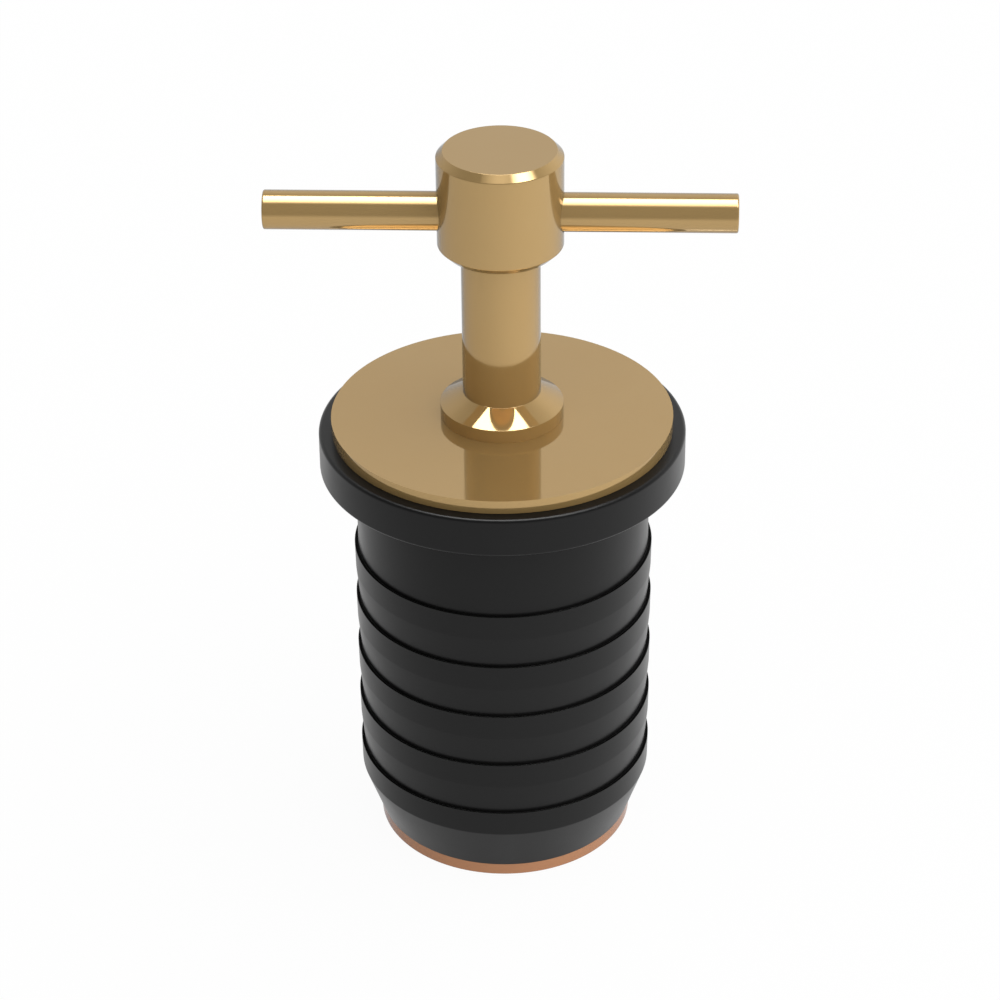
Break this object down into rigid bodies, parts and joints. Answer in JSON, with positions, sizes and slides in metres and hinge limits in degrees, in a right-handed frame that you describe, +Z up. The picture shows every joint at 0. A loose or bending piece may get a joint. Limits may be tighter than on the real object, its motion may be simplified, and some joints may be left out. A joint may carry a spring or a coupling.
{
  "type": "expanding boat drain plug",
  "caption": "Screw-down drain plug: ribbed rubber body with a flange between two metal plates, tightened by a brass cross bar handle on top.",
  "frame": {"origin": "centre of the bottom plate's lower face, which the plug stands on", "axes": "+Z up along the stud, towards the handle; +X along the cross bar; +Y completes the right-handed frame"},
  "size_m": [0.0378, 0.0302, 0.0633],
  "materials": {
    "copper_plate": "stamped copper-coloured disc, satin",
    "stud_brass": "rolled thread",
    "rubber": "moulded black rubber, slightly glossy",
    "plate_brass": "polished disc",
    "turned_brass": "turned and polished",
    "rod_brass": "drawn and polished rod"
  },
  "bodies": {
    "base": {"bottom_plate": "copper_plate", "stud": "stud_brass", "rubber_body": "rubber"},
    "top_plate": {"top_plate": "plate_brass"},
    "handle": {"handle_hub": "turned_brass", "cross_bar": "rod_brass"}
  },
  "joints": [
    {"name": "squeeze", "type": "slide", "parent": "base", "child": "top_plate", "axis": [0, 0, -1], "range_m": [0, 0.00397], "deforming": ["rubber_body"]},
    {"name": "handle_turn", "type": "hinge", "parent": "top_plate", "child": "handle", "pos_m": [0, 0, 0.03954], "axis": [0, 0, -1], "range_deg": [0, 1350]}
  ],
  "couplings": [
    {"joint": "squeeze", "follows": "handle_turn", "m_per_rad": 0.00016844}
  ]
}
